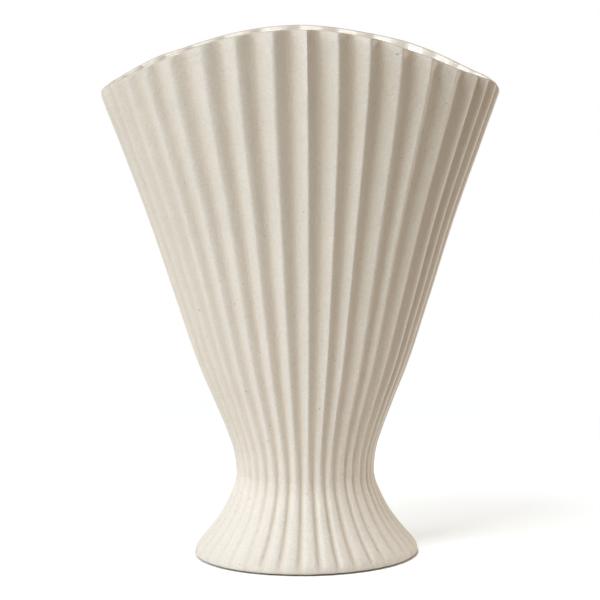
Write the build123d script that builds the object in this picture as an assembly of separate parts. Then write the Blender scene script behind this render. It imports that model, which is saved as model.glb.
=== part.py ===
from build123d import *
import os
from math import cos, hypot, sin, sqrt, tau

# A fan vase in stoneware: a broad oval fan luted to a flared oval foot, fluted all round.
# Millimetres, +Z up. The origin lies on the surface that the vase stands on, under the
# middle of the foot. The broad front of the fan faces -Y.

# Heights
vase_height = 300.0  # from the surface to the crown of the arched rim
arch_rise = 35.0  # from the two low ends of the rim up to its crown
waist_height = 47.5  # where the fan is luted to the foot

# Half sizes of the oval that the crests of the flutes touch
mouth_half_width = 112.0  # at the low ends of the rim
mouth_half_depth = 58.5
waist_half_width = 39.5
waist_half_depth = 37.5
foot_half_width = 64.0
foot_half_depth = 60.0

# Clay walls, which thin evenly from the foot ring up to the rim
rim_wall = 4.6
foot_wall = 7.0
lip_radius = 1.2

# Luted joint at the waist: a collar on the foot stands in a rebate in the fan
collar_height = 5.0
collar_wall = 2.6
luting_gap = 0.2

# Floor slab, pushed up from below against a shoulder in the foot
slab_thickness = 6.0
slab_recess = 1.0  # from the foot ring up to its underside
slab_seat = 2.5  # width of the shoulder
slab_edge_radius = 0.8

# Glaze that lines the inside
glaze_thickness = 0.5
glaze_gap = 0.15  # between its back and the clay
glaze_stop = 2.0  # below the top of the rim

# Felt pads stuck under the slab
pad_radius = 6.0
pad_lift = 0.8  # how far they hold the foot ring off the surface
pad_margin = 2.0  # in from the edge of the slab
pad_edge_radius = 0.3
pad_names = ("pad_rear_right", "pad_rear_left", "pad_front_left", "pad_front_right")

# Flutes, evenly stepped round the oval, with a crest at the middle of the front
flute_count = 36
fan_flute_share = 0.22  # depth of the grooves, of the distance from crest to crest
foot_flute_share = 0.18
fan_flank_share = 0.58  # of that depth, reached halfway from crest to groove
foot_flank_share = 0.27
inner_flute_share = 0.7  # how much of the flutes the inside follows

# How far the cutting shapes run past what they cut
overrun = 10.0

# The side from the waist up to the ends of the rim: share of the rise, and share of the
# spread from waist to mouth. The last share is the spread gained per rise above the ends.
fan_side_shares = (
    (0.053, 0.015),
    (0.107, 0.062),
    (0.187, 0.154),
    (0.293, 0.282),
    (0.452, 0.439),
    (0.662, 0.639),
    (0.870, 0.863),
    (1.000, 1.000),
)
upper_spread_share = 1.04

# The side from the waist down to the foot ring: share of the drop, share of the spread
# from waist to foot, and share of the full flute depth, which fades at the rounded edge
foot_side_shares = (
    (0.126, 0.041, 1.00),
    (0.250, 0.128, 1.00),
    (0.377, 0.236, 1.00),
    (0.501, 0.364, 1.00),
    (0.627, 0.530, 1.00),
    (0.754, 0.722, 1.00),
    (0.865, 0.902, 0.90),
    (0.930, 0.978, 0.45),
    (0.970, 1.000, 0.15),
    (1.000, 0.975, 0.05),
)

# Where the points of a rib lie, as shares of the distance from crest to crest
rib_step_shares = (-0.5, -0.25, 0.0, 0.25, 0.5)

corner_height = vase_height - arch_rise
slab_underside = pad_lift + slab_recess
slab_top = slab_underside + slab_thickness


def blend(share, start, end):
    return start + share * (end - start)


def fan_station(rise, spread):
    return (
        blend(rise, waist_height, corner_height),
        blend(spread, waist_half_width, mouth_half_width),
        blend(spread, waist_half_depth, mouth_half_depth),
        fan_flute_share,
        fan_flank_share,
    )


def foot_station(drop, spread, fade):
    return (
        blend(drop, waist_height, pad_lift),
        blend(spread, waist_half_width, foot_half_width),
        blend(spread, waist_half_depth, foot_half_depth),
        fade * foot_flute_share,
        foot_flank_share,
    )


def side_stations():
    """Height, half width, half depth, flute share and flank share, from the foot ring up."""
    stations = [foot_station(*shares) for shares in reversed(foot_side_shares)]
    waist_flute = (fan_flute_share + foot_flute_share) / 2
    waist_flank = (fan_flank_share + foot_flank_share) / 2
    stations.append((waist_height, waist_half_width, waist_half_depth, waist_flute, waist_flank))
    stations.extend(fan_station(*shares) for shares in fan_side_shares)
    above = (arch_rise + overrun) / (corner_height - waist_height)
    stations.append(fan_station(1 + above, 1 + above * upper_spread_share))
    return stations


def wall_at(height):
    return blend((height - pad_lift) / (corner_height - pad_lift), foot_wall, rim_wall)


def oval_at(height, inset):
    """Half sizes of the plain oval at a height, taken in by inset."""
    for lower, upper in zip(side_stations(), side_stations()[1:]):
        if lower[0] <= height <= upper[0]:
            share = (height - lower[0]) / (upper[0] - lower[0])
            half_width = blend(share, lower[1], upper[1])
            half_depth = blend(share, lower[2], upper[2])
    return half_width - inset, half_depth - inset


def wall_point(station, turn, drop, inset, follow):
    """A point on the wall: turn runs once round from 0 to 1, drop from crest 0 to groove 1."""
    height, half_width, half_depth, flute, _ = station
    along_x = -half_width * sin(tau * turn)
    along_y = half_depth * cos(tau * turn)
    speed = hypot(along_x, along_y)
    crest_to_crest = speed * tau / flute_count
    offset = inset + follow * drop * flute * crest_to_crest
    return Vector(
        half_width * cos(tau * turn) - offset * along_y / speed,
        half_depth * sin(tau * turn) + offset * along_x / speed,
        height,
    )


def oval_tangent(station, turn):
    return Vector(-station[1] * sin(tau * turn), station[2] * cos(tau * turn), 0)


def fluted_ring(station, inset, follow):
    """A closed ring of ribs, each one curve from groove over crest to groove."""
    flank = station[-1]
    drops = (1, flank, 0, flank, 1)
    ribs = []
    for rib in range(flute_count):
        turns = [(rib + step) / flute_count for step in rib_step_shares]
        points = []
        for turn, drop in zip(turns, drops):
            points.append(wall_point(station, turn, drop, inset, follow))
        ends = [oval_tangent(station, turns[0]), oval_tangent(station, turns[-1])]
        spacing = [step - rib_step_shares[0] for step in rib_step_shares]
        ribs.append(Edge.make_spline(points, tangents=ends, parameters=spacing))
    return Wire(ribs)


def fluted_body(inset_at, follow):
    """The solid inside the wall's fluted surface, taken in by inset_at(height)."""
    rings = [fluted_ring(station, inset_at(station[0]), follow) for station in side_stations()]
    return Solid.make_loft(rings)


def oval_disc(half_sizes, bottom, top):
    return extrude(Pos(0, 0, bottom) * Ellipse(*half_sizes), amount=top - bottom)


def arched_block(drop):
    """All that lies under the arch of the rim, when the arch is lowered by drop."""
    radius = (mouth_half_width**2 + arch_rise**2) / (2 * arch_rise)
    reach = mouth_half_width + overrun
    ends = vase_height - radius + sqrt(radius**2 - reach**2)
    arch = ThreePointArc((-reach, ends), (0, vase_height), (reach, ends))
    sides = Polyline((reach, ends), (reach, -overrun), (-reach, -overrun), (-reach, ends))
    outline = Plane.XZ * Pos(0, -drop) * make_face(arch + sides)
    return extrude(outline, amount=2 * mouth_half_depth, both=True)


def hollow(inset_at, floor_height):
    """The inside space above a flat floor."""
    below = oval_disc((foot_half_width, foot_half_depth), -overrun, floor_height)
    return fluted_body(inset_at, inner_flute_share) - below


def make_wall():
    outside = fluted_body(lambda height: 0, 1)
    return (outside - hollow(wall_at, slab_top)) & arched_block(0)


def collar_space(gap):
    """The oval plug that the collar fills at the waist, with room for slip."""
    half_sizes = oval_at(waist_height, wall_at(waist_height) - collar_wall - gap)
    return oval_disc(half_sizes, waist_height, waist_height + collar_height + gap)


def make_fan(wall):
    upper = split(wall, bisect_by=Plane.XY.offset(waist_height), keep=Keep.TOP)
    rim = upper.faces().filter_by(GeomType.CYLINDER).sort_by(Axis.Z)[-1]
    softened = fillet(rim.edges(), lip_radius)
    return softened - collar_space(luting_gap)


def slab_half_sizes(growth):
    return oval_at(slab_top, wall_at(slab_top) - slab_seat - growth)


def make_foot(wall):
    lower = split(wall, bisect_by=Plane.XY.offset(waist_height), keep=Keep.BOTTOM)
    collar = wall & collar_space(0)
    rebate = oval_disc(slab_half_sizes(luting_gap), -overrun, slab_top)
    return lower + collar - rebate


def make_base_slab():
    slab = oval_disc(slab_half_sizes(0), slab_underside, slab_top)
    return fillet(slab.edges().sort_by(Axis.Z)[0], slab_edge_radius)


def make_inner_glaze():
    back = hollow(lambda height: wall_at(height) + glaze_gap, slab_top)
    face_floor = slab_top + glaze_thickness
    face = hollow(lambda height: wall_at(height) + glaze_gap + glaze_thickness, face_floor)
    return (back - face) & arched_block(glaze_stop)


def make_pad(turn):
    half_width, half_depth = slab_half_sizes(-pad_margin - pad_radius)
    place = Pos(half_width * cos(tau * turn), half_depth * sin(tau * turn), 0)
    pad = extrude(place * Circle(pad_radius), amount=slab_underside)
    return fillet(pad.edges().sort_by(Axis.Z)[0], pad_edge_radius)


def main():
    os.makedirs("parts", exist_ok=True)
    wall = make_wall()
    pieces = {
        "fan": make_fan(wall),
        "foot": make_foot(wall),
        "base_slab": make_base_slab(),
        "inner_glaze": make_inner_glaze(),
    }
    for number, name in enumerate(pad_names):
        pieces[name] = make_pad((number + 0.5) / len(pad_names))
    for name, piece in pieces.items():
        export_step(piece, f"parts/{name}.step")
        print(name, len(piece.solids()), round(piece.volume), "mm3")


main()
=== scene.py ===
import math
import bmesh
import bpy
from mathutils import Matrix, Vector


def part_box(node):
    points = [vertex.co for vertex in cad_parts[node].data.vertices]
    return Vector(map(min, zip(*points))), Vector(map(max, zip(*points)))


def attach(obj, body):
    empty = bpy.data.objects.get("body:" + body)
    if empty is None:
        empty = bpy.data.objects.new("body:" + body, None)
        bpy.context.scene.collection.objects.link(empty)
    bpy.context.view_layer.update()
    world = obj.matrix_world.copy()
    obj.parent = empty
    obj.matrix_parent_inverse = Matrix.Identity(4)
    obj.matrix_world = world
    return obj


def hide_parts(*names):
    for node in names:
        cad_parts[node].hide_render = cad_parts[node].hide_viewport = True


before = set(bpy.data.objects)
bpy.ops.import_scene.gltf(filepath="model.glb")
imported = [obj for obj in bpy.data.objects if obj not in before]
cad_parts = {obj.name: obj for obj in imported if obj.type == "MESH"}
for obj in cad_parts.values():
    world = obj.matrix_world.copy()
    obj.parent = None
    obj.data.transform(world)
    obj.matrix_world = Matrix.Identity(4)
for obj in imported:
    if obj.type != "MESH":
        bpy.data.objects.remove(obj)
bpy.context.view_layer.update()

# The fan: the tall upper casting, fluted inside and out and cut to an arch at the rim.
# It is slip-cast in a sandy pale stoneware, fired without glaze on the outside, and luted
# to the foot at the waist.

mm = 0.001
crown_height = 300 * mm
arch_rise = 35 * mm
waist_height = 47.5 * mm
ring_height = 0.8 * mm
crown_half_width = 124.1 * mm
crown_half_depth = 62 * mm
arch_half_width = 112 * mm
waist_half_width = 39.5 * mm
waist_half_depth = 37.5 * mm
foot_half_width = 64 * mm
foot_half_depth = 60 * mm
rim_wall = 4.6 * mm
foot_wall = 7 * mm
outer_rounding = 0.9 * mm
inner_rounding = 1.6 * mm
lip_crown = 0.05 * mm
lip_crown_share = 0.42  # of the way through the wall
lip_crown_follow = 0.87
flute_count = 36
inner_follow = 0.7  # how much of the flutes the inside follows

# Share of the rise above the waist, and share of the spread from waist to crown
fan_side_shares = (
    (0, 0), (0.046, 0.013), (0.092, 0.053), (0.161, 0.132), (0.252, 0.242),
    (0.389, 0.376), (0.570, 0.548), (0.749, 0.740), (0.861, 0.863), (1, 1),
)
# Share of the drop below the waist, and share of the spread from waist to foot
foot_side_shares = (
    (0, 0), (0.126, 0.041), (0.250, 0.128), (0.377, 0.236), (0.501, 0.364),
    (0.627, 0.530), (0.754, 0.722), (0.865, 0.902), (0.930, 0.978), (1, 1),
)
# Share of the way from one groove to the next, and share of the groove's depth. The fan's
# ribs lean to the right, steeply on the right of the front and softly on its left.
steep_rib_shares = (
    (0, 0.965), (0.05, 0.885), (0.1, 0.785), (0.27, 0.43), (0.43, 0.095), (0.47, 0.02),
    (0.5, 0), (0.53, 0.06), (0.58, 0.24), (0.64, 0.48), (0.70, 0.70), (0.76, 0.86),
    (0.82, 0.955), (0.88, 0.995), (0.94, 1), (1, 0.965),
)
soft_rib_shares = (
    (0, 1), (0.05, 0.95), (0.12, 0.82), (0.2, 0.62), (0.3, 0.37), (0.4, 0.14), (0.46, 0.03),
    (0.5, 0), (0.55, 0.035), (0.6, 0.12), (0.66, 0.27), (0.72, 0.46), (0.78, 0.66),
    (0.84, 0.83), (0.90, 0.95), (0.95, 0.995), (1, 1),
)
foot_rib_shares = (
    (0, 1), (0.075, 0.93), (0.15, 0.62), (0.25, 0.22), (0.35, 0.05), (0.5, 0),
    (0.65, 0.05), (0.75, 0.22), (0.85, 0.62), (0.925, 0.93), (1, 1),
)
# Between these heights the fan's ribs change into the foot's
rib_change_top = 80 * mm
rib_change_bottom = 30 * mm
# Share of the drop below the waist, and share of the full groove depth
foot_fade_shares = ((0, 1), (0.80, 1), (0.88, 0.75), (0.95, 0.30), (1, 0.05))
# Share of the turn round the vase, from its right end over the back, and a half plus half the
# flutes' drift in shares of a flute
flute_drift_shares = (
    (0, 0.15), (0.12, 0.32), (0.25, 0.50), (0.38, 0.62), (0.5, 0.69), (0.58, 0.70),
    (0.615, 0.645), (0.6425, 0.62), (0.673, 0.617), (0.70, 0.605), (0.73, 0.61), (0.76, 0.62),
    (0.789, 0.595), (0.812, 0.532), (0.839, 0.55), (0.863, 0.45), (0.88, 0.44), (0.895, 0.435),
    (0.919, 0.405), (0.941, 0.30), (0.965, 0.22), (1, 0.15),
)
# The same turn, and a half plus how many flutes they have swung from there by the crown
flute_swing_shares = (
    (0, 0.5), (0.25, 0.5), (0.5, 0.5), (0.64, 0.56), (0.673, 0.64), (0.70, 0.62), (0.73, 0.60),
    (0.755, 0.36), (0.782, 0.25), (0.806, 0.25), (0.832, 0.15), (0.856, 0.31), (0.883, 0.39),
    (0.92, 0.43), (1, 0.5),
)
# The same turn, and how soft the fan's ribs are
rib_softness_shares = (
    (0, 0.4), (0.25, 0.5), (0.45, 0.3), (0.55, 0.3), (0.61, 1), (0.66, 1), (0.72, 0.7),
    (0.755, 0.15), (0.78, 0.02), (0.88, 0.05), (0.93, 0.15), (1, 0.4),
)
# The same turn, and a half plus how far the hand-cut rim stands above its even arch, as a
# share of the most that it might
rim_cut_shares = (
    (0, 0.84), (0.05, 0.68), (0.07, 0.62), (0.11, 0.50), (0.16, 0.50), (0.20, 0.42),
    (0.25, 0.51), (0.29, 0.50), (0.33, 0.47), (0.38, 0.65), (0.42, 0.66), (0.45, 0.74),
    (0.5, 0.98), (0.55, 0.68), (0.588, 0.475), (0.62, 0.40), (0.652, 0.38), (0.681, 0.455),
    (0.75, 0.49), (0.78, 0.41), (0.812, 0.33), (0.835, 0.20), (0.87, 0.18), (0.90, 0.30),
    (0.94, 0.58), (1, 0.84),
)
# The same turn, and the depth that the flutes keep at the foot's edge. They fade out at
# its left end, where slip has filled them.
foot_depth_shares = (
    (0, 0.9), (0.1, 1), (0.42, 1), (0.5, 0.1), (0.6, 0.05), (0.64, 0.1), (0.665, 0.5),
    (0.69, 1), (0.9, 1), (1, 0.9),
)
# The same turn, and the depth that the flutes keep in the fan, shallower at its left
fan_depth_shares = (
    (0, 1), (0.25, 1), (0.4, 0.85), (0.5, 0.72), (0.66, 0.74), (0.72, 0.9), (0.77, 1), (1, 1),
)
rim_corrections = 4
lump_scale = 26.0  # the unevenness of the wall, per metre
lump_width_share = 0.45  # of a lump's height
crisp_angle = math.radians(55)  # what is bent more than this is shaded as an edge
lip_glaze_start = 0.90  # of the way through the wall
lip_glaze_slope = 14


def add(tree, kind, settings=(), sockets=()):
    """A node of one kind, with its settings made first and then its sockets set or linked."""
    node = tree.nodes.new(kind)
    for name, value in dict(settings).items():
        if name == "curve":
            points = node.mapping.curves[0].points
            while len(points) < len(value):
                points.new(0.5, 0.5)
            for point, place in zip(points, value):
                point.location = place
                point.handle_type = "AUTO"
            node.mapping.update()
        else:
            setattr(node, name, value)
    for name, value in dict(sockets).items():
        if isinstance(value, Amount):
            value = value.socket
        if isinstance(value, bpy.types.NodeSocket):
            tree.links.new(value, node.inputs[name])
        else:
            node.inputs[name].default_value = value
    return node


class Amount:
    """A number in a node tree. Sums written with it become Math nodes."""

    def __init__(self, socket):
        self.socket = socket

    def math(self, operation, *values):
        sockets = dict(enumerate(values))
        node = add(self.socket.id_data, "ShaderNodeMath", {"operation": operation}, sockets)
        return Amount(node.outputs[0])

    def __add__(self, other):
        return self.math("ADD", self, other)

    def __sub__(self, other):
        return self.math("SUBTRACT", self, other)

    def __rsub__(self, other):
        return self.math("SUBTRACT", other, self)

    def __mul__(self, other):
        return self.math("MULTIPLY", self, other)

    def __truediv__(self, other):
        return self.math("DIVIDE", self, other)

    def __pow__(self, other):
        return self.math("POWER", self, other)

    __radd__ = __add__
    __rmul__ = __mul__

    def sine(self):
        return self.math("SINE", self)

    def cosine(self):
        return self.math("COSINE", self)

    def arc_cosine(self):
        return self.math("ARCCOSINE", self)

    def root(self):
        return self.math("SQRT", self)

    def fraction(self):
        return self.math("FRACT", self)

    def size(self):
        return self.math("ABSOLUTE", self)

    def clamped(self):
        return self.math("MINIMUM", self.math("MAXIMUM", self, 0), 1)

    def past(self, start, width):
        """0 up to start, rising to 1 over the width beyond it."""
        return ((self - start) / width).clamped()

    def short_of(self, end, width):
        """0 from end on, rising to 1 over the width before it."""
        return ((end - self) / width).clamped()

    def along(self, curve):
        """Read off a drawn curve between 0 and 1."""
        node = add(self.socket.id_data, "ShaderNodeFloatCurve", {"curve": curve}, {"Value": self})
        return Amount(node.outputs[0])


def blend(share, start, end):
    return start + (end - start) * share


def run(start, end, steps):
    """Points of the wall's section from start up to, but not with, end."""
    points = []
    for step in range(steps):
        points.append([blend(step / steps, low, high) for low, high in zip(start, end)])
    return points


def soft_corner(from_face, wall, rounding, follow, steps):
    """Points over a lip's corner, from one face of the wall in towards its middle."""
    points = []
    for step in range(steps + 1):
        turn = math.pi / 2 * step / steps
        inward = rounding / wall * (1 - math.cos(turn))
        share = inward if from_face == 0 else 1 - inward
        points.append((share, 1, -rounding * (1 - math.sin(turn)), follow))
    return points


def set_down(name, data):
    """A new object in the scene, at the origin and unturned."""
    thing = bpy.data.objects.new(name, data)
    bpy.context.scene.collection.objects.link(thing)
    return thing


def section_object(name, points, closed):
    """A piece as its section only. X is the share of the way through the wall, Y the share of
    the way up the piece, Z a height added to that, and follow the share of the flutes."""
    mesh = bpy.data.meshes.new(name)
    edges = [(number, number + 1) for number in range(len(points) - 1)]
    if closed:
        edges.append((len(points) - 1, 0))
    mesh.from_pydata([point[:3] for point in points], edges, [])
    follow = mesh.attributes.new("follow", "FLOAT", "POINT")
    follow.data.foreach_set("value", [point[3] for point in points])
    return set_down(name, mesh)


def tree_input(tree, kind, name, value=None):
    item = tree.interface.new_socket(name=name, in_out="INPUT", socket_type=kind)
    if value is not None:
        item.default_value = value


def fluted_wall_tree():
    """Carries a wall's section round the oval of the vase and presses the flutes into it."""
    tree = bpy.data.node_groups.new("fluted_wall", "GeometryNodeTree")
    tree.is_modifier = True
    tree_input(tree, "NodeSocketGeometry", "Section")
    for kind, name, value in (
        ("Int", "Flutes", flute_count),
        ("Int", "Steps in a flute", 20),
        ("Float", "Low end", waist_height),
        ("Float", "High end", crown_height),
        ("Float", "Arch share", 1),
        ("Float", "Fan groove share", 0.26),
        ("Float", "Foot groove share", 0.21),
        ("Float", "Rim unevenness", 5 * mm),
        ("Float", "Corner rounding", 9 * mm),
        ("Float", "Lip band", 2.2 * mm),
        ("Float", "Edge band", 0.9 * mm),
        ("Float", "Hand unevenness", 0.5 * mm),
        ("Material", "Material", None),
    ):
        tree_input(tree, "NodeSocket" + kind, name, value)
    tree.interface.new_socket(name="Wall", in_out="OUTPUT", socket_type="NodeSocketGeometry")
    given = add(tree, "NodeGroupInput")

    def asked(name):
        return Amount(given.outputs[name])

    def captured(geometry, kind, value):
        node = add(tree, "GeometryNodeCaptureAttribute")
        node.capture_items.new(kind, "kept")
        tree.links.new(geometry, node.inputs["Geometry"])
        tree.links.new(value, node.inputs["kept"])
        return node.outputs["Geometry"], node.outputs["kept"]

    # The section keeps its own three numbers, and each step round the oval its turn
    place = add(tree, "GeometryNodeInputPosition").outputs["Position"]
    line = add(tree, "GeometryNodeMeshToCurve", {}, {"Mesh": given.outputs["Section"]})
    section, section_place = captured(line.outputs["Curve"], "VECTOR", place)
    steps = asked("Flutes") * asked("Steps in a flute")
    ring = add(tree, "GeometryNodeCurvePrimitiveCircle", {}, {"Resolution": steps})
    index = Amount(add(tree, "GeometryNodeInputIndex").outputs["Index"])
    ring, turn = captured(ring.outputs["Curve"], "FLOAT", (index / steps).socket)
    swept = add(tree, "GeometryNodeCurveToMesh", {}, {"Curve": ring, "Profile Curve": section})
    parts = add(tree, "ShaderNodeSeparateXYZ", {}, {"Vector": section_place})
    wall_share, rise_share, lift = (Amount(parts.outputs[axis]) for axis in "XYZ")
    turn = Amount(turn)

    # Flutes drift a little from their even steps, as the model for the mould was hand-made
    even_height = blend(rise_share, asked("Low end"), asked("High end"))
    rise = even_height.past(waist_height, crown_height - waist_height)
    swing = (turn.along(flute_swing_shares) - 0.5) * rise**3
    drift = (turn.along(flute_drift_shares) * 2 - 1 + swing) / asked("Flutes")
    angle = (turn + drift) * math.tau
    out_x = angle.cosine()
    out_y = angle.sine()
    past_groove = (turn * asked("Flutes") + 0.5).fraction()

    def half_sizes(height):
        rise = height.past(waist_height, crown_height - waist_height)
        drop = height.short_of(waist_height, waist_height - ring_height)
        fan = rise.along(fan_side_shares)
        foot = drop.along(foot_side_shares)
        width = fan * (crown_half_width - waist_half_width) + waist_half_width
        depth = fan * (crown_half_depth - waist_half_depth) + waist_half_depth
        width = width + foot * (foot_half_width - waist_half_width)
        depth = depth + foot * (foot_half_depth - waist_half_depth)
        return width, depth, drop

    follow = add(tree, "GeometryNodeInputNamedAttribute", {}, {"Name": "follow"})
    follow = Amount(follow.outputs["Attribute"])
    softness = turn.along(rib_softness_shares)
    steep_rib = past_groove.along(steep_rib_shares)
    fan_rib = blend(softness, steep_rib, past_groove.along(soft_rib_shares))
    foot_rib = past_groove.along(foot_rib_shares)

    def wall_at(height):
        """The plain oval's half sizes and its length per turn, how far the wall lies inside
        it, and the rib's shape."""
        half_width, half_depth, foot_drop = half_sizes(height)
        speed = ((half_width * out_y) ** 2 + (half_depth * out_x) ** 2).root()
        pitch = speed * math.tau / asked("Flutes")
        foot_share = height.short_of(rib_change_top, rib_change_top - rib_change_bottom)
        fan_groove = asked("Fan groove share") * turn.along(fan_depth_shares)
        groove_share = blend(foot_share, fan_groove, asked("Foot groove share"))
        groove_share = groove_share * foot_drop.along(foot_fade_shares)
        kept_share = turn.along(foot_depth_shares)
        groove_share = groove_share * blend(foot_drop.root(), 1, kept_share)
        rib = blend(foot_share, fan_rib, foot_rib)
        wall_rise = (height - ring_height) / (crown_height - arch_rise - ring_height)
        inset = wall_share * blend(wall_rise, foot_wall, rim_wall)
        return half_width, half_depth, speed, inset + follow * rib * groove_share * pitch, rib

    # The rim is cut along a circle seen from the front, with rounded corners and the cut's
    # own unevenness, found by steps of correction
    radius = (arch_half_width**2 + arch_rise**2) / (2 * arch_rise)
    at_front = out_y.math("LESS_THAN", out_y, 0)
    top = asked("High end")
    for _ in range(rim_corrections):
        half_width, half_depth, speed, inside, _ = wall_at(top)
        across = half_width * out_x - inside * half_depth * out_x / speed
        reach = across / half_width
        cut_turn = reach.arc_cosine() / math.tau
        cut_turn = cut_turn + at_front * (1 - cut_turn - cut_turn)
        raised = (cut_turn.along(rim_cut_shares) - 0.5) * 2 * asked("Rim unevenness")
        corner = (1 - (1 - reach.size()) * half_width / asked("Corner rounding")).clamped()
        cut_off = (1 - (1 - corner * corner).root()) * asked("Corner rounding")
        drop = radius - (radius**2 - across * across).root() - raised + cut_off
        top = asked("High end") - asked("Arch share") * drop
    height = blend(rise_share, asked("Low end"), top) + lift
    half_width, half_depth, speed, inside, rib = wall_at(height)

    # The hand-made unevenness is the same right through the wall
    plain = add(
        tree, "ShaderNodeCombineXYZ", {},
        {"X": half_width * out_x, "Y": half_depth * out_y, "Z": height * lump_width_share},
    )
    noise = add(
        tree, "ShaderNodeTexNoise", {"noise_dimensions": "3D"},
        {"Vector": plain.outputs["Vector"], "Scale": lump_scale, "Detail": 1.0},
    )
    lumps = (Amount(noise.outputs["Fac"]) - 0.5) * 2 * asked("Hand unevenness")
    offset = inside - lumps
    final = add(
        tree, "ShaderNodeCombineXYZ", {},
        {
            "X": half_width * out_x - offset * half_depth * out_x / speed,
            "Y": half_depth * out_y - offset * half_width * out_y / speed,
            "Z": height,
        },
    )
    placed = add(
        tree, "GeometryNodeSetPosition", {},
        {"Geometry": swept.outputs["Mesh"], "Position": final.outputs["Vector"]},
    )
    # What the materials follow: the groove's depth, the glazed side of the lip, the rim's
    # bare edge, and the way round
    around = add(
        tree, "ShaderNodeCombineXYZ", {},
        {"X": out_x, "Y": out_y, "Z": height / crown_height},
    )
    lip = (1 - (top - height) / asked("Lip band")).clamped() * asked("Arch share")
    lip = lip * ((wall_share - lip_glaze_start) * lip_glaze_slope).clamped()
    edge = (1 - (top - height) / asked("Edge band")).clamped() * asked("Arch share")
    marked = placed
    for kind, name, value in (
        ("FLOAT", "groove", rib),
        ("FLOAT", "lip", lip),
        ("FLOAT", "edge", edge),
        ("FLOAT_VECTOR", "around", around.outputs["Vector"]),
    ):
        marked = add(
            tree, "GeometryNodeStoreNamedAttribute", {"data_type": kind, "domain": "POINT"},
            {"Geometry": marked.outputs["Geometry"], "Name": name, "Value": value},
        )
    smooth = add(
        tree, "GeometryNodeSetShadeSmooth", {"domain": "FACE"},
        {"Geometry": marked.outputs["Geometry"], "Shade Smooth": True},
    )
    bend = Amount(add(tree, "GeometryNodeInputMeshEdgeAngle").outputs["Unsigned Angle"])
    sharp = add(
        tree, "GeometryNodeSetShadeSmooth", {"domain": "EDGE"},
        {
            "Geometry": smooth.outputs["Geometry"],
            "Selection": bend.math("GREATER_THAN", bend, crisp_angle),
            "Shade Smooth": False,
        },
    )
    real = add(tree, "GeometryNodeRealizeInstances", {}, {"Geometry": sharp.outputs["Geometry"]})
    dressed = add(
        tree, "GeometryNodeSetMaterial", {},
        {"Geometry": real.outputs["Geometry"], "Material": given.outputs["Material"]},
    )
    add(tree, "NodeGroupOutput", {}, {"Wall": dressed.outputs["Geometry"]})
    return tree


fluted_wall = fluted_wall_tree()


def shaped_by(tree, name, drawn, **asked):
    """A new plain piece, as a node tree shapes the drawn object. The drawn object goes."""
    modifier = drawn.modifiers.new(tree.name, "NODES")
    modifier.node_group = tree
    for item in tree.interface.items_tree:
        word = item.name.lower().replace(" ", "_")
        if word in asked:
            modifier[item.identifier] = asked[word]
    shaped = drawn.evaluated_get(bpy.context.evaluated_depsgraph_get())
    mesh = bpy.data.meshes.new_from_object(shaped)
    mesh.name = name
    bpy.data.objects.remove(drawn)
    return set_down(name, mesh)


def close_and_face_outward(mesh):
    """Closes each open ring with triangles to its middle, and turns all faces outward."""
    work = bmesh.new()
    work.from_mesh(mesh)
    open_edges = [edge for edge in work.edges if edge.is_boundary]
    rings = bmesh.ops.edgeloop_fill(work, edges=open_edges)["faces"] if open_edges else []
    if rings:
        bmesh.ops.poke(work, faces=rings)
    bmesh.ops.recalc_face_normals(work, faces=work.faces)
    work.to_mesh(mesh)
    work.free()


def carried_round(name, section, closed=True, **asked):
    """Makes a piece by carrying its section round the vase, as a plain closed mesh."""
    drawn = section_object(name + "_section", section, closed)
    piece = shaped_by(fluted_wall, name, drawn, **asked)
    close_and_face_outward(piece.data)
    return piece


def blank_material(name):
    """A new material, and its node tree with nothing in it."""
    material = bpy.data.materials.new(name)
    material.use_nodes = True
    material.node_tree.nodes.clear()
    return material, material.node_tree


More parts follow.
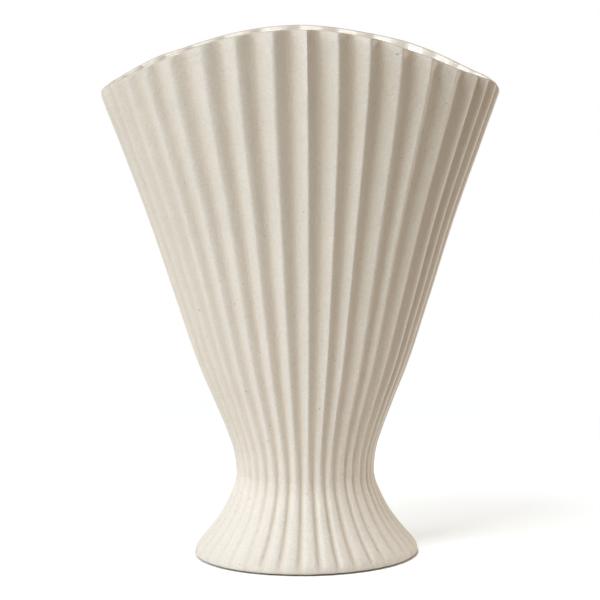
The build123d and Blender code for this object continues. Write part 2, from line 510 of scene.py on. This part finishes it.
def stoneware_material(name, tone, speck_share=1.0, grain_depth=1.0):
    """Sandy unglazed stoneware: fine grain, brown specks, pits and faint streaks, slip that
    settled in the grooves with painted shade deepening them, painted shade on the flanks and
    painted highlights on the crests at the vase's right end, painted shade low on the foot, a
    bare rim edge darkened with painted shade, and the lip as the glazer left it."""
    material, tree = blank_material(name)
    place = add(tree, "ShaderNodeTexCoord").outputs["Object"]
    around = add(tree, "ShaderNodeAttribute", {"attribute_name": "around"}).outputs["Vector"]

    def marked(name):
        return Amount(add(tree, "ShaderNodeAttribute", {"attribute_name": name}).outputs["Fac"])

    def noise(scale, detail, roughness, stretch=(1, 1, 1), where=place):
        """Soft noise from about -0.5 to 0.5."""
        turned = add(tree, "ShaderNodeMapping", {}, {"Vector": where, "Scale": stretch})
        sockets = {"Vector": turned.outputs["Vector"], "Scale": scale, "Detail": detail}
        node = add(tree, "ShaderNodeTexNoise", {}, {**sockets, "Roughness": roughness})
        return Amount(node.outputs["Fac"]) - 0.5

    def dots(spacing, size, share):
        """1 in the middle of the share of scattered dots that show, and 0 elsewhere."""
        settings = {"feature": "F1", "voronoi_dimensions": "3D"}
        node = add(tree, "ShaderNodeTexVoronoi", settings, {"Vector": place, "Scale": 1 / spacing})
        parts = add(tree, "ShaderNodeSeparateColor", {}, {"Color": node.outputs["Color"]})
        chosen = Amount(parts.outputs["Red"])
        chosen = chosen.math("LESS_THAN", chosen, share)
        width = Amount(parts.outputs["Green"]) * 0.7 + 0.3
        near = (1 - Amount(node.outputs["Distance"]) * spacing / (width * size)).clamped()
        return chosen * near

    def painted(share, under, over):
        node = add(
            tree, "ShaderNodeMix", {"data_type": "RGBA", "blend_type": "MIX"},
            {"Factor": share, 6: under, 7: over},
        )
        return node.outputs[2]

    groove = marked("groove")
    ways = add(tree, "ShaderNodeSeparateXYZ", {}, {"Vector": around})
    rightward, upward = (Amount(ways.outputs[axis]) for axis in "XZ")
    right = rightward.past(*right_end) * upward.past(*above_foot)
    grain = noise(grain_scale, 2, 0.6)
    sand = noise(sand_scale, 2, 0.6)
    mottle = noise(mottle_scale, 3, 0.65)
    cloud = noise(cloud_scale, 2, 0.5)
    streak = noise(streak_scale, 3, 0.6, (1, 1, streak_width_share), around)
    grit_share = groove**5 * (upward.short_of(*near_table) * 0.5 + 0.3)
    grit = dots(grit_spacing, grit_size, grit_share * (cloud * 6 + 0.7).clamped())
    specks = dots(speck_spacing, speck_size, shown_specks * speck_share)
    pits = dots(pit_spacing, pit_size, shown_pits * speck_share)

    light = grain * 0.50 + sand * 0.48 + mottle * 0.22 + cloud * 0.12 + streak * 0.26
    # Darker in the grooves and lighter on the crests: painted shade. Darker low on the foot:
    # painted shade as well.
    light = light + (0.5 - groove) * 0.06 - upward.short_of(*painted_foot_shade) * 0.16
    clay = painted((light + 0.5).clamped(), shade(tone, 0.80), shade(tone, 1.20))
    # Browner in the grooves: slip that settled there, and painted shade.
    slipped_and_shaded = painted(groove * groove * 0.5, clay, shade(slip_and_shade_tone, 1))
    # Darker on the flanks at the right end: painted shade.
    flank_shade_share = right * groove.past(*on_flank) * 0.8
    flank_shaded = painted(flank_shade_share, slipped_and_shaded, shade(flank_shade_tone, 1))
    # Paler crest lines at the right end: painted highlights.
    crest_highlighted = painted(right * groove.short_of(*on_crest), flank_shaded, shade(crest_highlight_tone, 1))
    glazed = (marked("lip") * 4).clamped()
    pale = painted(glazed, crest_highlighted, shade(lip_tone, 1))
    # Darker along the top of the rim: bare clay, darkened further with painted shade.
    bare_edge_shaded = painted(marked("edge") * 0.9, pale, shade(bare_edge_shade_tone, 1))
    speckled = painted((specks * 1.2).clamped() * 0.75, bare_edge_shaded, shade(speck_tone, 1))
    pitted = painted((pits + grit).clamped() * 0.65, speckled, shade(pit_tone, 1))
    swell = noise(swell_scale, 2, 0.5)
    height = grain * 0.16 + sand * 0.22 + swell * 0.16 - pits * 0.5
    bump = add(
        tree, "ShaderNodeBump", {},
        {"Height": height * grain_depth * 1.5, "Distance": grain_relief, "Strength": 1.0},
    )
    shader = add(
        tree, "ShaderNodeBsdfPrincipled", {},
        {
            "Base Color": pitted,
            "Roughness": clay_roughness + sand * 0.15 - glazed * lip_smoothing,
            "Specular IOR Level": 0.3,
            "Normal": bump.outputs["Normal"],
        },
    )
    add(tree, "ShaderNodeOutputMaterial", {}, {"Surface": shader.outputs["BSDF"]})
    return material


def shade(tone, amount):
    return (tone[0] * amount, tone[1] * amount, tone[2] * amount, 1)


stone_tone = (0.752, 0.718, 0.660)
slip_and_shade_tone = (0.68, 0.60, 0.50)  # clay that settled in the grooves, darkened further there as painted shade
flank_shade_tone = (0.60, 0.53, 0.46)  # painted shade on the flanks at the vase's right end
crest_highlight_tone = (0.95, 0.90, 0.82)  # painted highlights on the crests there
lip_tone = (0.84, 0.81, 0.75)  # glaze carried over the lip
bare_edge_shade_tone = (0.46, 0.41, 0.34)  # bare clay along the top of the rim, darkened further with painted shade
speck_tone = (0.20, 0.135, 0.085)
pit_tone = (0.25, 0.19, 0.14)
clay_roughness = 0.86
lip_smoothing = 0.6  # how much less rough the glaze makes the lip
# Patterns per metre, and for the streaks per half width of the vase
grain_scale = 1300
sand_scale = 620
swell_scale = 230
mottle_scale = 90
cloud_scale = 24
streak_scale = 34
streak_width_share = 0.22  # of their height
speck_spacing = 4.2 * mm
speck_size = 0.55 * mm
shown_specks = 0.28
pit_spacing = 6.5 * mm
pit_size = 0.6 * mm
shown_pits = 0.30
grit_spacing = 1.6 * mm
grit_size = 0.5 * mm
grain_relief = 1 * mm
# Where each mark starts and over what width it comes in
right_end = (0.68, 0.2)  # of the way out to the right end
above_foot = (0.17, 0.15)  # of the vase's height, and so are the next two
near_table = (0.10, 0.06)
# painted shade, darker low on the foot
painted_foot_shade = (0.14, 0.12)
on_flank = (0.15, 0.3)  # of the groove's depth
on_crest = (0.14, 0.10)
stoneware = stoneware_material("stoneware", stone_tone)

# The rebate for the foot's collar: its share of the fan's rise, and the shares of the way
# through the wall at its top and at its bottom
rebate_rise = 5.2 * mm / (crown_height - waist_height)
rebate_top_share = 0.606
rebate_bottom_share = 0.572
inner_run_top = 0.985  # of the fan's rise, just under the lip's rounding
fan = carried_round(
    "fluted_fan",
    run((0, 0, 0, 1), (0, 1, -outer_rounding, 1), steps=72)
    + soft_corner(0, rim_wall, outer_rounding, 1, steps=6)
    + [(lip_crown_share, 1, lip_crown, lip_crown_follow)]
    + soft_corner(1, rim_wall, inner_rounding, inner_follow, steps=7)[::-1]
    + run((1, inner_run_top, 0, inner_follow), (1, rebate_rise, 0, inner_follow), steps=26)
    + [
        (1, rebate_rise, 0, inner_follow),
        (rebate_top_share, rebate_rise, 0, 0),
        (rebate_bottom_share, 0, 0, 0),
    ],
    low_end=waist_height,
    high_end=crown_height,
    material=stoneware,
)
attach(fan, "root")
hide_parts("fan")

# The foot: the flared lower casting, fluted outside, with a rounded edge. A collar round its
# top stands in the fan's rebate, and a shoulder inside it seats the floor slab. It is the same
# raw stoneware, grittier towards the table and darker there with painted shade.

edge_rounding = 1.4 * mm
slab_top = 7.8 * mm
foot_rise = waist_height - ring_height
shoulder_rise = (slab_top - ring_height) / foot_rise
collar_top_rise = 1 + 5 * mm / foot_rise
# Shares of the way through the wall: the foot ring's flat underside, its chamfer, the slab's
# rebate from below up to the shoulder, and the collar's outer face
ring_share = 0.88
chamfer_share = 0.93
chamfer_height = 0.4 * mm
rebate_low_share = 0.877
rebate_low_rise = 0.07
rebate_high_share = 0.61
collar_top_share = 0.637
collar_bottom_share = 0.602
shoulder_edge = (1, shoulder_rise, 0, inner_follow)
collar_edge = (1, collar_top_rise, 0, inner_follow)
edge_steps = 8
rounded_edge = []
for step in range(edge_steps + 1):
    turn = math.pi / 2 * step / edge_steps
    through = edge_rounding / foot_wall * (1 - math.cos(turn))
    rounded_edge.append((through, 0, edge_rounding * (1 - math.sin(turn)), 1))
foot = carried_round(
    "fluted_foot",
    run((0, 1, 0, 1), (0, 0, edge_rounding, 1), steps=70)
    + rounded_edge
    + [
        (ring_share, 0, 0, 0),
        (chamfer_share, 0, chamfer_height, 0),
        (rebate_low_share, rebate_low_rise, 0, 0),
        (rebate_high_share, shoulder_rise, 0, 0),
    ]
    + run(shoulder_edge, collar_edge, steps=16)
    + [
        collar_edge,
        (collar_top_share, collar_top_rise, 0, 0),
        (collar_bottom_share, 1, 0, 0),
    ],
    low_end=ring_height,
    high_end=waist_height,
    arch_share=0.0,
    material=stoneware,
)
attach(foot, "root")
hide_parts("foot")

# The floor slab: an oval of rolled stoneware pushed up into the foot and luted there. Its
# underside was wiped flat and is coarser and a little darker than the cast walls.

base_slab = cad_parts["base_slab"]
slab_tone = (0.58, 0.53, 0.45)
slab_stone = stoneware_material("slab_stoneware", slab_tone, speck_share=1.4, grain_depth=1.6)
base_slab.data.materials.clear()
base_slab.data.materials.append(slab_stone)

# The glaze: a cream gloss poured inside and out again, thin over the flutes and pooled where
# the wall meets the floor. This lining stops just under the lip. The film on the lip itself is
# in the fan's own material.

glaze_stop = 2 * mm
glaze_edge = 0.25 * mm  # the rounding of its upper edge
glaze_thickness = 0.5 * mm  # on the floor
glaze_back_share = 1.03  # of the way through the wall, so just past its face
glaze_face_share = 1.12
pool_rounding = 3 * mm
pool_steps = 8
thin_glaze_tone = (0.76, 0.73, 0.67)
thick_glaze_tone = (0.86, 0.84, 0.79)
glaze_wave_height = 1 * mm
glaze_wave_scale = 90.0  # per metre
glaze_cloud_scale = 24.0
glaze_roughness = 0.10


def half_round(start, end, rounding, steps):
    """Points over an edge, from one face of the glaze to the other, raised by rounding."""
    points = []
    for step in range(steps):
        turn = math.pi * step / steps
        point = [blend((1 - math.cos(turn)) / 2, low, high) for low, high in zip(start, end)]
        point[2] += rounding * math.sin(turn)
        points.append(point)
    return points


def glaze_material():
    material, tree = blank_material("inner_glaze")
    place = add(tree, "ShaderNodeTexCoord").outputs["Object"]
    groove = Amount(add(tree, "ShaderNodeAttribute", {"attribute_name": "groove"}).outputs["Fac"])
    wave = add(
        tree, "ShaderNodeTexNoise", {},
        {"Vector": place, "Scale": glaze_wave_scale, "Detail": 2.0},
    )
    cloud = add(
        tree, "ShaderNodeTexNoise", {},
        {"Vector": place, "Scale": glaze_cloud_scale, "Detail": 3.0},
    )
    wave = Amount(wave.outputs["Fac"])
    cloud = Amount(cloud.outputs["Fac"])
    thick = ((1 - groove) * 0.5 + (cloud - 0.5) * 0.8 + 0.25).clamped()
    colour = add(
        tree, "ShaderNodeMix", {"data_type": "RGBA"},
        {"Factor": thick, 6: shade(thin_glaze_tone, 1), 7: shade(thick_glaze_tone, 1)},
    )
    bump = add(
        tree, "ShaderNodeBump", {},
        {"Height": wave, "Distance": glaze_wave_height, "Strength": 0.7},
    )
    shader = add(
        tree, "ShaderNodeBsdfPrincipled", {},
        {
            "Base Color": colour.outputs[2],
            "Roughness": glaze_roughness + (cloud - 0.5) * 0.10,
            "Coat Weight": 0.5,
            "Coat Roughness": 0.05,
            "Normal": bump.outputs["Normal"],
        },
    )
    add(tree, "ShaderNodeOutputMaterial", {}, {"Surface": shader.outputs["BSDF"]})
    return material


pool = []
for step in range(1, pool_steps + 1):
    turn = math.pi / 2 * step / pool_steps
    through = glaze_face_share + pool_rounding / foot_wall * (1 - math.cos(turn))
    lift = glaze_thickness + pool_rounding * (1 - math.sin(turn))
    pool.append((through, 0, lift, inner_follow * math.cos(turn)))
back_foot = (glaze_back_share, 0, 0, inner_follow)
back_top = (glaze_back_share, 1, -glaze_stop - glaze_edge, inner_follow)
face_top = (glaze_face_share, 1, -glaze_stop - glaze_edge, inner_follow)
face_foot = (glaze_face_share, 0, glaze_thickness + pool_rounding, inner_follow)
glaze = carried_round(
    "glaze_lining",
    run(back_foot, back_top, steps=30)
    + half_round(back_top, face_top, glaze_edge, steps=4)
    + run(face_top, face_foot, steps=90)
    + [face_foot]
    + pool,
    closed=False,
    low_end=slab_top,
    high_end=crown_height,
    material=glaze_material(),
)
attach(glaze, "root")
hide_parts("inner_glaze")

# The felt pads: four discs punched from dense felt and stuck under the slab, so that the
# foot ring stands just clear of the table. Their sides bulge a little under the weight.

pad_nodes = ("pad_rear_right", "pad_rear_left", "pad_front_left", "pad_front_right")
felt_dark = (0.020, 0.017, 0.014)
felt_light = (0.085, 0.075, 0.064)
felt_relief = 0.3 * mm
fibre_scale = 2600.0  # per metre
tuft_scale = 700.0
felt_roughness = 0.95
fuzz_share = 0.03  # of the pad's radius


def felt_material():
    material, tree = blank_material("felt")
    place = add(tree, "ShaderNodeTexCoord").outputs["Object"]
    fibre = add(
        tree, "ShaderNodeTexNoise", {},
        {"Vector": place, "Scale": fibre_scale, "Detail": 3.0},
    )
    tuft = add(
        tree, "ShaderNodeTexNoise", {},
        {"Vector": place, "Scale": tuft_scale, "Detail": 2.0},
    )
    fibre = Amount(fibre.outputs["Fac"])
    tuft = Amount(tuft.outputs["Fac"])
    colour = add(
        tree, "ShaderNodeMix", {"data_type": "RGBA"},
        {
            "Factor": fibre * 0.6 + tuft * 0.4,
            6: shade(felt_dark, 1),
            7: shade(felt_light, 1),
        },
    )
    bump = add(
        tree, "ShaderNodeBump", {},
        {"Height": fibre * 0.5 + tuft * 0.5, "Distance": felt_relief, "Strength": 1.0},
    )
    shader = add(
        tree, "ShaderNodeBsdfPrincipled", {},
        {
            "Base Color": colour.outputs[2],
            "Roughness": felt_roughness,
            "Normal": bump.outputs["Normal"],
        },
    )
    add(tree, "ShaderNodeOutputMaterial", {}, {"Surface": shader.outputs["BSDF"]})
    return material


def pads_tree():
    """Sets a disc with soft bulging sides at each point."""
    tree = bpy.data.node_groups.new("felt_pads", "GeometryNodeTree")
    tree.is_modifier = True
    tree_input(tree, "NodeSocketGeometry", "Places")
    for kind, name, value in (
        ("Float", "Radius", 6 * mm),
        ("Float", "Thickness", 1.8 * mm),
        ("Float", "Bulge", 0.35 * mm),
        ("Int", "Seed", 4),
        ("Material", "Material", None),
    ):
        tree_input(tree, "NodeSocket" + kind, name, value)
    tree.interface.new_socket(name="Pads", in_out="OUTPUT", socket_type="NodeSocketGeometry")
    given = add(tree, "NodeGroupInput")
    radius, thickness, bulge = (
        Amount(given.outputs[name]) for name in ("Radius", "Thickness", "Bulge")
    )
    disc = add(
        tree, "GeometryNodeMeshCylinder", {"fill_type": "TRIANGLE_FAN"},
        {"Vertices": 48, "Side Segments": 8, "Fill Segments": 6, "Radius": 1.0, "Depth": 1.0},
    )
    place = add(tree, "GeometryNodeInputPosition").outputs["Position"]
    parts = add(tree, "ShaderNodeSeparateXYZ", {}, {"Vector": place})
    across, along, up = (Amount(parts.outputs[axis]) for axis in "XYZ")
    reach = (across * across + along * along).root()
    height = up + 0.5
    swelling = (height * (1 - height) * 4).root()
    side = 1 - (bulge / radius) * (1 - swelling) * reach
    noise = add(
        tree, "ShaderNodeTexNoise", {"noise_dimensions": "4D"},
        {"Vector": place, "W": given.outputs["Seed"], "Scale": 3.0, "Detail": 3.0},
    )
    fuzz = (Amount(noise.outputs["Fac"]) - 0.5) * fuzz_share * reach * swelling
    final = add(
        tree, "ShaderNodeCombineXYZ", {},
        {
            "X": across * radius * (side + fuzz),
            "Y": along * radius * (side + fuzz),
            "Z": height * thickness,
        },
    )
    placed = add(
        tree, "GeometryNodeSetPosition", {},
        {"Geometry": disc.outputs["Mesh"], "Position": final.outputs["Vector"]},
    )
    spread = add(
        tree, "GeometryNodeInstanceOnPoints", {},
        {"Points": given.outputs["Places"], "Instance": placed.outputs["Geometry"]},
    )
    real = add(tree, "GeometryNodeRealizeInstances", {}, {"Geometry": spread.outputs["Instances"]})
    smooth = add(tree, "GeometryNodeSetShadeSmooth", {}, {"Geometry": real.outputs["Geometry"]})
    dressed = add(
        tree, "GeometryNodeSetMaterial", {},
        {"Geometry": smooth.outputs["Geometry"], "Material": given.outputs["Material"]},
    )
    add(tree, "NodeGroupOutput", {}, {"Pads": dressed.outputs["Geometry"]})
    return tree


pad_middles = []
for node in pad_nodes:
    low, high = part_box(node)
    middle = (low + high) / 2
    pad_middles.append((middle.x, middle.y, low.z))
pad_places = bpy.data.meshes.new("pad_places")
pad_places.from_pydata(pad_middles, [], [])
placed_pads = set_down("pad_places", pad_places)
pads = shaped_by(pads_tree(), "felt_pads", placed_pads, material=felt_material())
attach(pads, "root")
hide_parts(*pad_nodes)

# The setting: a plain white floor that keeps the vase's soft shadow, a surround that the
# camera sees as white, and four square lamps.

floor_reach = 6000 * mm
# How far from the middle the paper stays light, and over what width it darkens beyond that
light_paper = (250 * mm, 400 * mm)
near_paper_tone = (0.85, 0.85, 0.85)
far_paper_tone = (0.40, 0.40, 0.40)
# How far from the middle the camera starts to see pure white instead, over what width, and
# how much less of the depth than of the width counts in that
pure_white = (80 * mm, 260 * mm)
counted_depth_share = 0.6
shadow_lift = 0.52  # brightens the shadow for the camera alone
shadow_tone = (0.79, 0.91, 1)
contact_slope = 60  # keeps the thin dark line under the foot
unseen_light = 0.375  # the surround's strength where the camera doesn't see it
unseen_tone = (1, 0.753, 0.472)
white = (1, 1, 1)

floor_mesh = bpy.data.meshes.new("floor")
floor_mesh.from_pydata(
    [(-floor_reach, -floor_reach, 0), (floor_reach, -floor_reach, 0),
     (floor_reach, floor_reach, 0), (-floor_reach, floor_reach, 0)],
    [], [(0, 1, 2, 3)],
)
floor = set_down("floor", floor_mesh)


def seen_directly(tree):
    """1 where the camera sees the surface straight, in a reflection or through glass."""
    path = add(tree, "ShaderNodeLightPath")
    camera, glossy, clear = (
        Amount(path.outputs[name])
        for name in ("Is Camera Ray", "Is Glossy Ray", "Is Transmission Ray")
    )
    return (camera + glossy + clear).clamped()


floor_material, tree = blank_material("floor")
place = add(tree, "ShaderNodeTexCoord").outputs["Object"]
parts = add(tree, "ShaderNodeSeparateXYZ", {}, {"Vector": place})
across = Amount(parts.outputs["X"])
along = Amount(parts.outputs["Y"])
away = (across**2 + along**2).root()
paper = add(
    tree, "ShaderNodeMix", {"data_type": "RGBA"},
    {
        "Factor": away.past(*light_paper),
        6: shade(near_paper_tone, 1),
        7: shade(far_paper_tone, 1),
    },
)
matt = add(tree, "ShaderNodeBsdfDiffuse", {}, {"Color": paper.outputs[2]})
oval_share = ((across / foot_half_width) ** 2 + (along / foot_half_depth) ** 2).root()
clear_of_foot = ((oval_share - 1) * contact_slope).clamped()
lifted = add(
    tree, "ShaderNodeEmission", {},
    {
        "Color": shade(shadow_tone, 1),
        "Strength": seen_directly(tree) * clear_of_foot * shadow_lift,
    },
)
shadowed = add(tree, "ShaderNodeAddShader", {}, {0: matt.outputs[0], 1: lifted.outputs[0]})
blank = add(tree, "ShaderNodeEmission", {}, {"Color": shade(white, 1), "Strength": 1.0})
fading = (across**2 + (along * counted_depth_share) ** 2).root()
far = fading.past(*pure_white) * seen_directly(tree)
ground = add(
    tree, "ShaderNodeMixShader", {},
    {0: far, 1: shadowed.outputs[0], 2: blank.outputs[0]},
)
add(tree, "ShaderNodeOutputMaterial", {}, {"Surface": ground.outputs[0]})
floor_mesh.materials.append(floor_material)

scene = bpy.context.scene
world = bpy.data.worlds.new("surround")
scene.world = world
world.use_nodes = True
tree = world.node_tree
tree.nodes.clear()
seen = seen_directly(tree)
tint = add(
    tree, "ShaderNodeMix", {"data_type": "RGBA"},
    {"Factor": seen, 6: shade(unseen_tone, 1), 7: shade(white, 1)},
)
surround = add(
    tree, "ShaderNodeBackground", {},
    {"Color": tint.outputs[2], "Strength": blend(seen, unseen_light, 1)},
)
add(tree, "ShaderNodeOutputWorld", {}, {"Surface": surround.outputs[0]})

# Places and widths of the lamps are in metres, and their power in watts
lamp_aim = Vector((0, 0, 0.15))


def softbox(name, place, width, power, colour):
    """A square lamp that faces the middle of the vase."""
    lamp = bpy.data.lights.new(name, "AREA")
    lamp.size = width
    lamp.energy = power
    lamp.color = colour
    holder = set_down(name, lamp)
    holder.location = place
    holder.rotation_euler = (lamp_aim - Vector(place)).to_track_quat("-Z", "Y").to_euler()


softbox("high_lamp", (-0.63, -0.81, 2.09), width=0.9, power=27.8, colour=(0.75, 0.85, 1.00))
softbox("left_lamp", (-1.74, -0.47, 1.41), width=0.9, power=16.8, colour=(0.80, 0.86, 1.00))
softbox("key_lamp", (-1.27, -1.27, 1.41), width=0.9, power=11.0, colour=(0.96, 1.00, 0.83))
softbox("side_lamp", (1.82, 0.66, 0.45), width=0.6, power=12.0, colour=(1.00, 0.96, 0.90))

# The camera stands 1.4 m in front, looking slightly down, rolled by under a degree as in
# the photograph.

camera_place = Vector((-1.75 * mm, -1400 * mm, 328 * mm))
camera_pitch = math.radians(7.405)
camera_roll = math.radians(-0.70)
camera_data = bpy.data.cameras.new("camera")
camera_data.sensor_width = 36
camera_data.lens = 149.26
camera = set_down("camera", camera_data)
camera.matrix_world = (
    Matrix.Translation(camera_place)
    @ Matrix.Rotation(math.pi / 2 - camera_pitch, 4, "X")
    @ Matrix.Rotation(camera_roll, 4, "Z")
)
scene.camera = camera
scene.view_settings.view_transform = "Standard"
